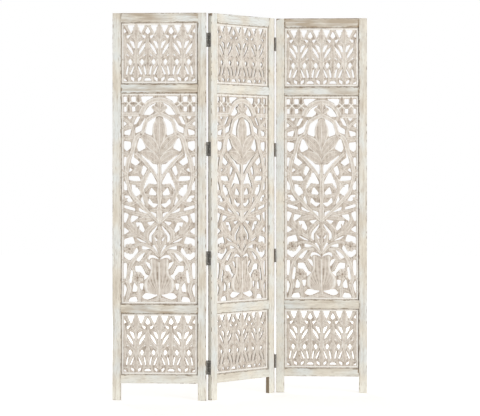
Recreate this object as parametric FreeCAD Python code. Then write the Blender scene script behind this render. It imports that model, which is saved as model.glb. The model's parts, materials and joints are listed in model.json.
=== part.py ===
import FreeCAD, Part
import math
import os

# Three-panel folding screen of carved wood. Each panel is a frame of two stiles and
# four rails that holds three pierced jali boards. Pinned butt hinges join the panels,
# so the screen folds flat or opens into a zigzag. Millimetres, Z up, origin on the
# floor under the centre of the middle panel, outer panels parallel to X.

Vector = FreeCAD.Vector
z_axis = Vector(0, 0, 1)

# Panel and frame
panel_width = 400.0
panel_height = 1650.0
frame_thickness = 20.0
stile_width = 35.0
leg_height = 72.0
bottom_rail_height = 35.0
lower_rail_height = 38.0
upper_rail_height = 37.0
top_rail_height = 40.0
square_sight_height = 263.0

# Groove that holds the rails' tongues and the boards
board_thickness = 9.0
relief_height = 1.5
board_setback = 8.0
groove_depth = 10.0
fit_gap = 0.2

# Carved field of the square boards
field_border = 15.0
tree_count = 3

# Hinges, with their heights at the middle: the lowest from the floor, the highest from the top
fold_turn = 50.0
hinges_per_fold = 4
lowest_hinge_height = 139.0
highest_hinge_drop = 114.0
hinge_height = 60.0
leaf_thickness = 2.0
leaf_reach = 17.0
leaf_spacing = 0.5
barrel_radius = 3.25
pin_radius = 1.6
pin_offset = 4.5
pin_clearance = 0.08
knuckle_gap = 0.4
knuckle_count = 3

# Overrun of a cutting shape past the face that it cuts
overrun = 1.0

# Worked out from the sizes above
sight_width = panel_width - 2 * stile_width
fold_gap = 2 * leaf_thickness + leaf_spacing
board_clearance = 2 * fit_gap
half_thickness = frame_thickness / 2
axis_across = panel_width / 2 + fold_gap / 2
axis_out = half_thickness + pin_offset
lower_rail_base = leg_height + bottom_rail_height + square_sight_height
upper_rail_base = panel_height - top_rail_height - square_sight_height - upper_rail_height
centre_sight_height = upper_rail_base - lower_rail_base - lower_rail_height
top_sight_base = upper_rail_base + upper_rail_height
hinge_rise = panel_height - highest_hinge_drop - lowest_hinge_height
hinge_spacing = hinge_rise / (hinges_per_fold - 1)
lowest_hinge_foot = lowest_hinge_height - hinge_height / 2

# Openings of a square board beside each of its trees. Across from the tree's stem, as
# shares of the repeat, and up from the lower rail, as shares of the sight height.
tree_opening_shares = [
    # Beside the pointed crown
    [(0.065, 0.966), (0.38, 0.966), (0.2, 0.825)],
    # On both sides of the bough that rises to the next cypress
    [(0.055, 0.59), (0.10, 0.69), (0.26, 0.70)],
    [(0.40, 0.67), (0.37, 0.61), (0.12, 0.475), (0.17, 0.57)],
    # Diamond between the tree and the cypress
    [(0.25, 0.415), (0.34, 0.37), (0.24, 0.31), (0.17, 0.365)],
    # Long slit beside the small spade leaf at the foot
    [(0.09, 0.305), (0.28, 0.17), (0.19, 0.155)],
]

# Openings on the line of each cypress, halfway between two trees
cypress_opening_shares = [
    [(0, 0.93), (0.11, 0.85), (0, 0.81), (-0.11, 0.85)],
    [(-0.165, 0.06), (-0.09, 0.10), (0.09, 0.10), (0.165, 0.06)],
]

# Openings in the left half of a centre board, mirrored to the right half. Across from
# the centre line, as shares of half the sight width, and up as shares of its height.
centre_opening_shares = [
    # Spandrel over the arch
    [(0.48, 0.982), (0.15, 0.982), (0.39, 0.95)],
    # Between the arch band and the small flower
    [(0.08, 0.953), (0.27, 0.936), (0.41, 0.897), (0.24, 0.897), (0.15, 0.911), (0.19, 0.932)],
    # Outside and inside the ogee stem round the lily
    [(0.36, 0.884), (0.47, 0.82), (0.62, 0.809), (0.62, 0.834), (0.5, 0.846)],
    [(0.08, 0.889), (0.3, 0.86), (0.37, 0.81), (0.19, 0.798), (0.17, 0.836)],
    # Beside the lily's petals
    [(0.92, 0.773), (0.73, 0.767), (0.75, 0.738), (0.85, 0.725), (0.92, 0.736)],
    [(0.49, 0.788), (0.35, 0.741), (0.53, 0.723), (0.58, 0.742)],
    [(0.67, 0.696), (0.51, 0.672), (0.61, 0.656), (0.75, 0.672)],
    [(0.46, 0.709), (0.17, 0.663), (0.05, 0.661), (0.06, 0.612), (0.21, 0.652)],
    # Among the upper scrolls
    [(0.22, 0.629), (0.05, 0.568), (0.28, 0.573), (0.4, 0.559)],
    [(0.8, 0.605), (0.53, 0.605), (0.48, 0.583), (0.78, 0.588)],
    [(0.72, 0.567), (0.62, 0.563), (0.47, 0.525), (0.62, 0.509), (0.7, 0.53)],
    # Among the lower scrolls
    [(0.62, 0.387), (0.47, 0.387), (0.38, 0.351), (0.42, 0.339), (0.57, 0.365)],
    [(0.05, 0.374), (0.21, 0.324), (0.21, 0.292), (0.27, 0.304), (0.26, 0.329)],
    [(0.92, 0.307), (0.69, 0.319), (0.64, 0.288), (0.84, 0.284), (0.91, 0.268)],
    # Round the rosettes
    [(0.92, 0.247), (0.7, 0.236), (0.59, 0.269), (0.55, 0.251), (0.78, 0.207), (0.92, 0.226)],
    # Beside the vase
    [(0.63, 0.181), (0.47, 0.182), (0.28, 0.135), (0.39, 0.115), (0.5, 0.154), (0.62, 0.155)],
    # Under the vase
    [(0.81, 0.013), (0.75, 0.031), (0.61, 0.035), (0.56, 0.013)],
    [(0.45, 0.035), (0.36, 0.053), (0.03, 0.045), (0.3, 0.023)],
]

# Forms that stand out of a centre board's front: the left half of each outline, in the
# same shares, from its foot to its top and mirrored about the centre line
lily_shares = [
    (0, 0.672), (0.28, 0.69), (0.51, 0.715), (0.3, 0.735), (0.33, 0.754), (0.44, 0.797),
    (0.13, 0.767), (0.14, 0.823), (0, 0.885),
]
vase_shares = [
    (0.255, 0.055), (0.364, 0.073), (0.37, 0.1), (0.255, 0.137), (0.242, 0.18), (0.267, 0.217),
]


def box(x0, x1, y0, y1, z0, z1):
    return Part.makeBox(x1 - x0, y1 - y0, z1 - z0, Vector(x0, y0, z0))


# Groove across the thickness, measured from the front face at -half_thickness
groove_front = -half_thickness + board_setback
groove_back = groove_front + board_thickness + fit_gap


# A panel is modelled with its centre on the Z axis and its front towards -Y


def stile(side):
    """Upright of the frame; side is -1 for the left one and 1 for the right one."""
    outer = side * panel_width / 2
    inner = side * sight_width / 2
    bottom_of_groove = inner + side * groove_depth
    post = box(min(outer, inner), max(outer, inner), -half_thickness, half_thickness, 0, panel_height)
    mouth = inner - side * overrun
    groove = box(
        min(mouth, bottom_of_groove), max(mouth, bottom_of_groove),
        groove_front, groove_back, leg_height, panel_height + overrun,
    )
    return post.cut(groove)


def rail(base, height, groove_below, groove_above):
    """Rail between the stiles, with a tongue in each stile's groove."""
    half = sight_width / 2
    tip = half + groove_depth
    body = box(-half, half, -half_thickness, half_thickness, base, base + height)
    tongue = box(-tip, tip, groove_front, groove_back - fit_gap, base, base + height)
    shape = body.fuse(tongue)
    if groove_below:
        shape = shape.cut(rail_groove(base - overrun, base + groove_depth))
    if groove_above:
        shape = shape.cut(rail_groove(base + height - groove_depth, base + height + overrun))
    return shape.removeSplitter()


def rail_groove(z0, z1):
    """Cutting shape of the groove along a rail's edge."""
    end = sight_width / 2 + groove_depth + overrun
    return box(-end, end, groove_front, groove_back, z0, z1)


def outline(points):
    """Closed outline in the board's plane, from points across and up."""
    corners = [Vector(across, 0, up) for across, up in points]
    return Part.makePolygon(corners + corners[:1])


def board(base, sight_height, openings):
    """Pierced board that stands in the grooves round one sight."""
    half_board = sight_width / 2 + groove_depth - fit_gap
    lower_edge = base - groove_depth
    upper_edge = base + sight_height + groove_depth - board_clearance
    edge = outline(
        [
            (-half_board, lower_edge), (half_board, lower_edge),
            (half_board, upper_edge), (-half_board, upper_edge),
        ]
    )
    piercings = [outline([(across, base + up) for across, up in points]) for points in openings]
    sheet = Part.makeFace([edge] + piercings, "Part::FaceMakerBullseye")
    sheet.translate(Vector(0, groove_front, 0))
    return sheet.extrude(Vector(0, board_thickness, 0))


def square_openings():
    """Three trees with cypresses between them, each tree mirrored about its stem."""
    repeat = (sight_width - 2 * field_border) / tree_count
    openings = []
    for tree in range(tree_count):
        stem = (tree - (tree_count - 1) / 2) * repeat
        for points in tree_opening_shares:
            for side in (-1, 1):
                openings.append(
                    [(stem + side * u * repeat, v * square_sight_height) for u, v in points]
                )
    for gap in range(tree_count - 1):
        line = (gap - (tree_count - 2) / 2) * repeat
        for points in cypress_opening_shares:
            openings.append([(line + u * repeat, v * square_sight_height) for u, v in points])
    return openings


def centre_openings():
    """Arch, lily, scrolls and vase, mirrored about the centre line."""
    openings = []
    for points in centre_opening_shares:
        for side in (-1, 1):
            openings.append(
                [(side * u * sight_width / 2, v * centre_sight_height) for u, v in points]
            )
    return openings


def relief(shares):
    """Raised form of a centre board, in one flat step, rooted in the board."""
    half = [(-u * sight_width / 2, v * centre_sight_height) for u, v in shares]
    other_half = [(-across, up) for across, up in reversed(half) if across]
    sight_base = lower_rail_base + lower_rail_height
    edge = outline([(across, sight_base + up) for across, up in half + other_half])
    face = Part.makeFace([edge], "Part::FaceMakerBullseye")
    face.translate(Vector(0, groove_front - relief_height, 0))
    return face.extrude(Vector(0, relief_height + board_thickness / 2, 0))


def centre_board():
    sight_base = lower_rail_base + lower_rail_height
    sheet = board(sight_base, centre_sight_height, centre_openings())
    return sheet.fuse([relief(lily_shares), relief(vase_shares)]).removeSplitter()


def hinge_leaf(side, own_knuckles):
    """Leaf and its barrel, with the pin's axis on Z and the panels towards -Y."""
    inner = side * leaf_spacing / 2
    outer = inner + side * leaf_thickness
    left, right = min(inner, outer), max(inner, outer)
    far_edge = -(pin_offset + leaf_reach)
    near_edge = -(barrel_radius + knuckle_gap)
    shape = box(left, right, far_edge, near_edge, 0, hinge_height)
    pitch = hinge_height / knuckle_count
    for index in own_knuckles:
        first = index * pitch + (knuckle_gap / 2 if index else 0)
        last = (index + 1) * pitch - (knuckle_gap / 2 if index < knuckle_count - 1 else 0)
        neck = box(left, right, near_edge, 0, first, last)
        barrel = Part.makeCylinder(barrel_radius, last - first, Vector(0, 0, first))
        shape = shape.fuse([neck, barrel])
    return shape


def fixed_leaf():
    """Leaf on the middle panel: outer knuckles with the pin fast in them."""
    pin = Part.makeCylinder(pin_radius, hinge_height)
    shape = hinge_leaf(1, range(0, knuckle_count, 2))
    return shape.fuse(pin).removeSplitter()


def swinging_leaf():
    """Leaf on an outer panel: inner knuckles that turn on the pin."""
    bore = Part.makeCylinder(pin_radius + pin_clearance, hinge_height)
    shape = hinge_leaf(-1, range(1, knuckle_count, 2))
    return shape.cut(bore).removeSplitter()


def turned(shape, angle):
    """Copy of a shape turned about the Z axis."""
    copy = shape.copy()
    copy.rotate(Vector(0, 0, 0), z_axis, angle)
    return copy


def moved(shape, offset):
    """Copy of a shape moved by a vector."""
    copy = shape.copy()
    copy.translate(offset)
    return copy


def rotated_point(across, out, angle):
    """Point in plan turned about the origin."""
    turn = math.radians(angle)
    return Vector(
        across * math.cos(turn) - out * math.sin(turn),
        across * math.sin(turn) + out * math.cos(turn),
        0,
    )


def save(shape, node):
    shape.exportStep(os.path.join("parts", node + ".step"))


# One panel's pieces, by the last part of their names
panel_pieces = {
    "left_stile": stile(-1),
    "right_stile": stile(1),
    "bottom_rail": rail(leg_height, bottom_rail_height, False, True),
    "lower_rail": rail(lower_rail_base, lower_rail_height, True, True),
    "upper_rail": rail(upper_rail_base, upper_rail_height, True, True),
    "top_rail": rail(panel_height - top_rail_height, top_rail_height, True, False),
    "bottom_jali": board(leg_height + bottom_rail_height, square_sight_height, square_openings()),
    "centre_jali": centre_board(),
    "top_jali": board(top_sight_base, square_sight_height, square_openings()),
}

# Fold axes in plan: the right fold's pins stand in front, the left fold's behind
right_axis = rotated_point(axis_across, -axis_out, fold_turn)
left_axis = rotated_point(-axis_across, axis_out, fold_turn)
left_centre = left_axis - Vector(axis_across, axis_out, 0)
right_centre = right_axis + Vector(axis_across, axis_out, 0)

os.makedirs("parts", exist_ok=True)
for name, piece in panel_pieces.items():
    save(moved(piece, left_centre), "left_panel_" + name)
    save(turned(piece, fold_turn), "middle_panel_" + name)
    save(moved(piece, right_centre), "right_panel_" + name)

# Hinges: the same pair of leaves serves both folds, turned by half a turn
half_turn = 180.0
for fold, axis, way in (("left_fold", left_axis, 0), ("right_fold", right_axis, half_turn)):
    fixed = turned(fixed_leaf(), fold_turn + way)
    swinging = turned(swinging_leaf(), way)
    for number in range(hinges_per_fold):
        seat = axis + Vector(0, 0, lowest_hinge_foot + number * hinge_spacing)
        label = "%s_hinge_%d" % (fold, number + 1)
        save(moved(fixed, seat), label + "_fixed_leaf")
        save(moved(swinging, seat), label + "_swinging_leaf")
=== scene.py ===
import json
import math
import random

import bmesh
import bpy
from mathutils import Matrix, Vector, noise


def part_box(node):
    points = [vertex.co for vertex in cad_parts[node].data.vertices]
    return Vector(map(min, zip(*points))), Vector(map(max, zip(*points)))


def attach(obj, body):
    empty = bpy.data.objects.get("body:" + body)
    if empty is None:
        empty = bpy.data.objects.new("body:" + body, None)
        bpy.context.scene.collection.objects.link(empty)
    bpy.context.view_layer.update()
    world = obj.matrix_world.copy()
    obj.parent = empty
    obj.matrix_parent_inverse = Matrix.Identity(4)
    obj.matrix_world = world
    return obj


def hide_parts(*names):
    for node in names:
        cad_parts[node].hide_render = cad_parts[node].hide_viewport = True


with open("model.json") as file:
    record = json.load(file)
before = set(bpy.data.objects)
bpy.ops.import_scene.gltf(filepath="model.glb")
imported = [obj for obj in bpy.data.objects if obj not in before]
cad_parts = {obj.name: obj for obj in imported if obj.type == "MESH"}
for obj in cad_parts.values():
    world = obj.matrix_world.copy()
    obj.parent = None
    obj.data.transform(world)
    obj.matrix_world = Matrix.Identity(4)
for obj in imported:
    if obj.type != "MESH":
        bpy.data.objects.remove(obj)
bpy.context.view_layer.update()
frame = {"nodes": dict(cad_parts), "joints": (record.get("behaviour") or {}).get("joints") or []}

# Folding screen of limed mango wood. The frames are the CAD solids with eased arrises and
# knocks, and the hinges are the CAD's, with screws. The pierced boards are carved here: a
# pierced plate for each sight, with leaves, petals, bands, rosettes and a vase on both sides.

MM = 0.001

# What the frame says about one panel, in millimetres
stile_low, stile_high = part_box("left_panel_left_stile")
PANEL_WIDTH = (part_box("left_panel_right_stile")[1].x - stile_low.x) / MM
SIGHT_LEFT = (stile_high.x - stile_low.x) / MM
SIGHT_RIGHT = PANEL_WIDTH - SIGHT_LEFT
PANEL_MIDDLE = PANEL_WIDTH / 2
FRAME_DEPTH = (stile_low.y + stile_high.y) / 2
board_low, board_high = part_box("left_panel_top_jali")
BOARD_FRONT = (board_low.y - FRAME_DEPTH) / MM
BOARD_BACK = (board_high.y - FRAME_DEPTH) / MM
BOARD_MIDDLE = (BOARD_FRONT + BOARD_BACK) / 2
BOARD_LEFT = (board_low.x - stile_low.x) / MM
BOARD_RIGHT = (board_high.x - stile_low.x) / MM
# How far each fold is turned at rest, which its joint's range gives: flat lies that far back
FOLD_TURN = math.radians(-frame["joints"][0]["range_deg"][0])

# Points closer than this are one point, in millimetres, and edges sharper than this stay sharp
MERGE_DISTANCE = 0.01
SHARP_ANGLE = math.radians(35)

# How far the pierced plate's faces lie under the CAD board's, and how far a form of height 1
# stands out of them at the front and at the back, in millimetres
GROUND_DEPTH = 1.2
RELIEF_FRONT = 2.4
RELIEF_BACK = 1.5
# Radius of the rounding round each opening
EDGE_ROUNDING = 1.5

# Corners of an opening are cut with a fret saw: the share of each side that the corner
# takes, how far a side bows out for its length, and the share of that bow at the corners
CORNER_SHARE = 0.14
SIDE_BOW = 0.03
BOW_AT_CORNER = 0.6
# How far the corner's curve is drawn towards its point
CORNER_PULL = 0.55
# How far outside its line each board was sawn; the low board was sawn inside it
saw_widening = {"bottom_jali": -0.8, "centre_jali": 0, "top_jali": 0.1}

# Openings of a square board, in millimetres from the lower edge of the sight and from the
# stem of a tree, the line of a cypress between two trees or the edge of the carving
TREE_STEMS = (100, 200, 300)
tree_openings = [
    [(6.5, 254), (38, 254), (21, 217), (13, 234)],
    [(23, 212), (41, 206), (38.5, 190)],
    [(5.5, 153), (10, 179), (27, 187), (16, 158)],
    [(40, 176), (37, 160), (12, 125), (17, 150)],
    [(30, 118), (37, 128), (42, 127)],
    [(25, 109), (34, 97), (24, 81), (17, 96)],
    [(7.5, 80), (14.5, 71), (27, 43), (20.5, 41)],
    [(32, 79), (37, 76), (44, 45), (39, 39)],
    [(9, 12), (8, 25), (22, 32), (21, 21)],
]
cypress_openings = [
    [(0, 245), (11, 224), (0, 213), (-11, 224)],
    [(-16.5, 16), (-9, 26), (9, 26), (16.5, 16)],
]
edge_openings = [
    [(-2, 238), (8, 224), (-1, 218)],
    [(-2, 25), (12, 14), (-2, 14)],
]

# Openings of the left half of a centre board, in millimetres from the panel's left edge
# and from the floor
centre_openings = [
    # Lattice in the corner and the spandrel
    [(47.5, 1271), (47.5, 1294), (60, 1294), (60, 1271)],
    [(80.5, 1272), (80.5, 1294), (98.5, 1294), (98.5, 1272)],
    [(121, 1294), (176, 1294), (146, 1277), (136, 1264), (126, 1272)],
    [(49, 1230), (49, 1251), (59, 1251), (59, 1230)],
    [(82, 1251), (96, 1251), (97, 1233), (84, 1230)],
    # Under the arch
    [(186, 1268), (155, 1252), (132, 1217), (161, 1217), (176, 1230), (168, 1249)],
    # Round the ogee stem
    [(63, 1209), (84, 1209), (73, 1197)],
    [(106, 1209), (118, 1209), (101, 1178), (89, 1175)],
    [(48, 1189), (60, 1178), (48, 1169)],
    [(141, 1205), (130, 1178), (122, 1148), (98, 1138), (97, 1160), (118, 1171)],
    [(186, 1210), (150, 1184), (139, 1139), (168, 1128), (172, 1162), (184, 1202)],
    [(79, 1156), (73, 1130), (50, 1133), (50, 1146)],
    # Beside the lily
    [(49, 1105), (79, 1100), (76, 1074), (60, 1062), (49, 1072)],
    [(114, 1117), (122, 1116), (142, 1076), (112, 1060), (104, 1077)],
    [(92, 1061), (89, 1036), (116, 1014), (99, 1000), (77, 1014)],
    [(121, 1046), (130, 1045), (172, 1006), (191, 1004), (190, 960), (165, 996)],
    [(49, 1037), (59, 1036), (57, 1000), (49, 998)],
    # Upper scrolls
    [(131, 1001), (147, 988), (131, 956), (122, 967)],
    [(74, 990), (85, 982), (70, 972)],
    [(163, 975), (191, 920), (153, 925), (134, 899), (134, 912)],
    [(68, 954), (112, 954), (120, 934), (71, 938)],
    [(49, 935), (60, 915), (62, 895), (49, 895)],
    [(81, 919), (97, 916), (122, 882), (98, 867), (84, 886)],
    [(165, 907), (187, 881), (184, 873), (155, 877)],
    [(49, 872), (70, 871), (86, 847), (66, 845)],
    [(126, 868), (137, 830), (120, 852)],
    [(156, 860), (172, 839), (194, 835), (177, 820), (151, 840)],
    # Lower scrolls
    [(50, 831), (95, 817), (96, 807), (50, 820)],
    [(111, 820), (150, 795), (114, 806)],
    [(161, 804), (186, 795), (186, 777)],
    [(49, 800), (69, 792), (55, 757), (49, 757)],
    [(81, 787), (112, 781), (86, 760), (75, 756)],
    [(98, 757), (122, 757), (137, 725), (131, 714), (106, 737)],
    [(147, 757), (180, 762), (160, 744)],
    [(49, 736), (70, 720), (49, 705)],
    [(192, 745), (183, 725), (165, 700), (166, 671), (155, 682), (157, 705)],
    [(177, 698), (192, 681), (185, 678)],
    [(49, 685), (86, 696), (95, 668), (62, 664), (50, 650)],
    [(100, 692), (145, 670), (117, 677)],
    [(126, 657), (165, 646), (126, 642)],
    [(170, 660), (180, 660), (195, 624), (186, 636)],
    # Beside the vase
    [(49, 631), (85, 621), (103, 651), (110, 634), (72, 595), (49, 612)],
    [(139, 632), (129, 612), (113, 590), (100, 596), (118, 620)],
    [(151, 606), (156, 616), (168, 619), (185, 612), (198, 600), (185, 605), (171, 608), (160, 605),
     (155, 598)],
    [(139, 590), (158, 583), (163, 556), (148, 573)],
    [(96, 571), (122, 572), (141, 536), (154, 530), (135, 512), (136, 527), (118, 547), (98, 548)],
    [(49, 585), (60, 583), (60, 550), (55, 517), (49, 517)],
    [(80, 555), (86, 550), (80, 500), (71, 499)],
    [(50, 496), (60, 475), (49, 437)],
    [(92, 501), (105, 482), (102, 463), (85, 462)],
    [(115, 496), (132, 497), (127, 470), (120, 472)],
    [(67, 420), (76, 436), (100, 440), (107, 420)],
    [(126, 440), (140, 456), (195, 449), (150, 429), (134, 433)],
]

# Carved forms. Each point of a stroke is a place and the half width there, in millimetres.
# Those of a tree and a cypress start from its stem and the sight's lower edge.
tree_middle_strokes = [
    ("band", [(0, 194, 5), (0, 165, 5), (0, 130, 8), (0, 106, 11), (0, 88, 7), (0, 68, 3)]),
    ("lobed leaf", [(0, 192, 2), (0, 208, 13), (0, 224, 17), (0, 243, 11), (0, 261, 1)]),
    ("lobed leaf", [(0, 24, 2), (0, 36, 11), (0, 48, 13), (0, 62, 6), (0, 78, 1)]),
]
tree_side_strokes = [
    ("band", [(0, 189, 3.5), (11, 199, 3.5), (23, 212, 4), (34, 233, 4.5), (50, 258, 4)]),
    ("leaf", [(3, 178, 2), (17, 193, 6), (38, 184, 2)]),
    ("leaf", [(3, 122, 3), (13, 147, 4.5), (26, 172, 4.5), (42, 200, 2)]),
    ("leaf", [(4, 108, 3), (19, 119, 7), (36, 141, 6), (46, 158, 2)]),
    ("band", [(4, 116, 3), (13, 92, 4.5), (23, 71, 4.5), (31, 48, 4), (33, 32, 4), (29, 16, 4),
              (26, 2, 3)]),
    ("band", [(47, 116, 3), (40, 100, 3.5), (28, 79, 3)]),
    ("band", [(33, 36, 3), (42, 32, 3), (51, 31, 3)]),
]
cypress_strokes = [
    ("lobed leaf", [(0, 118, 4), (0, 138, 17), (0, 160, 11), (0, 186, 6), (0, 212, 1)]),
    ("lobed leaf", [(0, 122, 3), (0, 104, 11), (0, 82, 9), (0, 60, 6), (0, 38, 2)]),
]
edge_cypress_strokes = [
    ("leaf", [(1, 118, 3), (2, 142, 11), (1, 172, 7), (0, 212, 2)]),
    ("leaf", [(1, 120, 2), (1, 96, 6), (0, 66, 5), (0, 34, 2)]),
]

centre_middle_strokes = [
    ("band", [(200, 1008, 7), (200, 960, 8), (200, 905, 8), (200, 868, 10), (200, 838, 6),
              (200, 800, 11), (200, 752, 6)]),
    ("leaf", [(200, 1230, 3), (200, 1250, 6), (200, 1266, 9), (200, 1279, 5)]),
    ("petal", [(200, 1080, 6), (200, 1110, 20), (200, 1150, 31), (200, 1185, 22), (200, 1212, 1)]),
    ("lobed leaf", [(200, 872, 4), (200, 892, 9), (200, 925, 2)]),
    ("lobed leaf", [(200, 688, 3), (200, 706, 12), (200, 722, 9), (200, 744, 2)]),
    ("leaf", [(200, 692, 4), (200, 664, 5), (200, 612, 2)]),
    ("leaf", [(200, 424, 8), (200, 434, 8), (200, 452, 2)]),
    ("vase", [(200, 450, 20), (200, 454, 40), (200, 460, 53), (200, 471, 62), (200, 486, 65),
              (200, 500, 64), (200, 513, 59), (200, 524, 51), (200, 536, 43), (200, 550, 38),
              (200, 572, 37), (200, 592, 38), (200, 606, 38)]),
]
centre_side_strokes = [
    # Lattice of crossed ridges with four leaves round each crossing, and the bar under it
    ("ridge", [(58, 1276, 2.6), (69, 1265, 3.2), (82, 1252, 2.6)]),
    ("ridge", [(58, 1252, 2.6), (69, 1265, 3.2), (82, 1276, 2.6)]),
    ("ridge", [(98, 1275, 2.6), (110, 1264, 3.2), (124, 1252, 2.6)]),
    ("ridge", [(97, 1252, 2.6), (110, 1264, 3.2), (123, 1276, 2.6)]),
    ("oval leaf", [(70, 1304, 5), (70, 1287, 8.5), (69, 1271, 2)]),
    ("oval leaf", [(70, 1226, 5), (70, 1243, 8.5), (69, 1259, 2)]),
    ("oval leaf", [(36, 1264, 5), (50, 1264, 7), (63, 1265, 2)]),
    ("oval leaf", [(76, 1265, 2), (89, 1264, 8), (103, 1264, 2)]),
    ("oval leaf", [(110, 1304, 5), (110, 1286, 9), (110, 1270, 2)]),
    ("oval leaf", [(108, 1226, 5), (109, 1243, 9), (110, 1258, 2)]),
    ("oval leaf", [(116, 1264, 2), (126, 1262, 8), (138, 1258, 4)]),
    ("band", [(36, 1219, 7.5), (70, 1219, 7.5), (112, 1219, 8)]),
    ("leaf", [(199, 1226, 3), (188, 1236, 9), (179, 1245, 10), (170, 1253, 7)]),
    # Ogee stem and the long outer stem
    ("band", [(201, 1221, 8), (171, 1209, 8), (146, 1192, 8), (136, 1164, 8), (127, 1138, 8),
              (104, 1122, 9), (92, 1094, 9), (84, 1060, 8), (69, 1031, 8), (61, 992, 8), (59, 948, 7),
              (69, 910, 7), (78, 884, 8), (95, 861, 8), (118, 838, 8), (138, 815, 7), (164, 790, 7),
              (196, 760, 6)]),
    ("band", [(36, 1208, 4), (62, 1188, 5), (84, 1168, 5)]),
    ("band", [(94, 1213, 4), (88, 1192, 4), (83, 1170, 5), (88, 1146, 6), (88, 1118, 6)]),
    ("leaf", [(86, 1164, 3), (66, 1166, 7), (38, 1156, 3)]),
    ("leaf", [(92, 1122, 4), (64, 1119, 9), (38, 1119, 4)]),
    ("leaf", [(70, 1046, 4), (54, 1052, 7), (38, 1056, 2)]),
    ("leaf", [(62, 966, 4), (50, 974, 8), (38, 986, 2)]),
    ("leaf", [(60, 958, 3), (49, 954, 7), (38, 946, 2)]),
    # Lily
    ("petal", [(199, 1046, 5), (176, 1080, 21), (150, 1108, 22), (118, 1136, 1)]),
    ("petal", [(200, 1008, 5), (178, 1030, 18), (150, 1047, 18), (108, 1058, 1)]),
    # Stem under the lily
    ("band", [(100, 1054, 7), (126, 1029, 7), (150, 1002, 7), (173, 974, 6.5), (199, 934, 5)]),
    # Upper scrolls
    ("leaf", [(130, 1009, 3), (106, 993, 7), (80, 999, 2)]),
    ("leaf", [(126, 1002, 3), (104, 980, 9), (76, 962, 2)]),
    ("leaf", [(126, 1000, 3), (115, 974, 7), (118, 950, 2)]),
    ("leaf", [(160, 990, 3), (146, 958, 8), (128, 926, 11), (124, 894, 10), (140, 862, 9), (148, 836, 4)]),
    ("leaf", [(130, 932, 4), (100, 927, 7), (74, 930, 2)]),
    ("leaf", [(130, 900, 4), (113, 911, 6), (98, 909, 2)]),
    ("leaf", [(138, 890, 4), (160, 916, 7), (192, 911, 3)]),
    ("leaf", [(142, 876, 4), (166, 867, 6), (194, 866, 3)]),
    ("leaf", [(60, 892, 3), (52, 885, 6), (38, 880, 3)]),
    ("leaf", [(38, 846, 3), (50, 853, 7), (63, 860, 2)]),
    ("leaf", [(104, 846, 5), (76, 836, 8), (40, 840, 2)]),
    ("leaf", [(118, 850, 3), (113, 862, 5), (113, 876, 2)]),
    ("leaf", [(150, 826, 4), (144, 846, 6), (148, 868, 2)]),
    ("leaf", [(196, 812, 4), (180, 808, 6), (154, 812, 2)]),
    # Lower scrolls
    ("leaf", [(158, 782, 4), (118, 792, 8), (84, 800, 6), (42, 812, 2)]),
    ("leaf", [(170, 774, 4), (138, 772, 9), (112, 768, 6), (97, 764, 2)]),
    ("leaf", [(114, 700, 5), (92, 730, 10), (72, 760, 7), (70, 790, 2)]),
    ("leaf", [(110, 700, 5), (87, 716, 9), (60, 746, 2)]),
    ("leaf", [(106, 698, 4), (76, 703, 6), (39, 699, 2)]),
    ("leaf", [(116, 702, 4), (108, 722, 6), (113, 744, 2)]),
    ("leaf", [(106, 710, 4), (98, 734, 6), (91, 757, 2)]),
    ("leaf", [(192, 754, 4), (164, 737, 8), (146, 716, 9), (144, 694, 8), (150, 672, 3)]),
    ("band", [(160, 672, 5), (138, 686, 6), (108, 704, 6), (80, 708, 4)]),
    ("band", [(199, 612, 5), (173, 643, 6), (146, 658, 5.5), (118, 664, 5), (96, 656, 4)]),
    ("leaf", [(199, 640, 3), (181, 668, 7), (172, 702, 2)]),
    ("leaf", [(199, 724, 3), (184, 712, 6), (172, 698, 2)]),
    # Outer stem beside the vase and its leaves
    ("band", [(168, 630, 4), (140, 635, 6), (117, 625, 7), (94, 603, 8), (78, 577, 8), (68, 542, 7),
              (64, 506, 7), (72, 476, 8), (66, 450, 6), (57, 416, 5)]),
    ("leaf", [(160, 628, 4), (142, 606, 9), (124, 584, 10), (98, 578, 2)]),
    ("leaf", [(132, 596, 4), (138, 570, 7), (148, 548, 6), (152, 536, 2)]),
    ("leaf", [(78, 584, 4), (58, 592, 6), (38, 600, 2)]),
    ("band", [(82, 580, 4), (88, 560, 4.5), (97, 536, 4)]),
    ("band", [(102, 506, 4), (110, 484, 5), (112, 456, 6), (114, 416, 6)]),
    ("leaf", [(60, 512, 3), (50, 506, 6), (38, 502, 2)]),
    ("leaf", [(114, 458, 3), (126, 462, 6), (134, 452, 1)]),
    ("leaf", [(110, 452, 3), (94, 448, 6), (78, 446, 1)]),
    # Mound that the vase stands on
    ("band", [(128, 418, 4), (160, 422, 5), (201, 433, 6)]),
]
# Middle and radius of each rosette
rosettes = [(72, 645, 24), (107, 522, 25)]

# Arch over the lily, as the middle of its band
ARCH_CENTRE = (200, 1200)
ARCH_RADIUS = 81
ARCH_HALF_WIDTH = 10
ARCH_SPRING = math.radians(13)
ARCH_POINTS = 9

# Raised strip along the sight's edges
STRIP_INSET = 7.5
STRIP_HALF_WIDTH = 3.5


def panel_places():
    """Where each panel stands: from millimetres on the panel to metres in the frame."""
    places = {}
    for panel in ("left_panel", "right_panel"):
        low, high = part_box(panel + "_left_stile")
        places[panel] = Matrix.Translation((low.x, (low.y + high.y) / 2, 0))
    to_middle = Matrix.Translation((-PANEL_MIDDLE * MM, 0, 0))
    places["middle_panel"] = Matrix.Rotation(FOLD_TURN, 4, "Z") @ to_middle
    return {panel: place @ Matrix.Scale(MM, 4) for panel, place in places.items()}


def shifted(points, across, up, side=1):
    """Points or stroke points measured from a stem, placed on the panel."""
    return [(across + side * p[0], up + p[1], *p[2:]) for p in points]


def mirrored(points):
    """Points of the left half, placed on the right half."""
    return [(PANEL_WIDTH - p[0], *p[1:]) for p in points]


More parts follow.
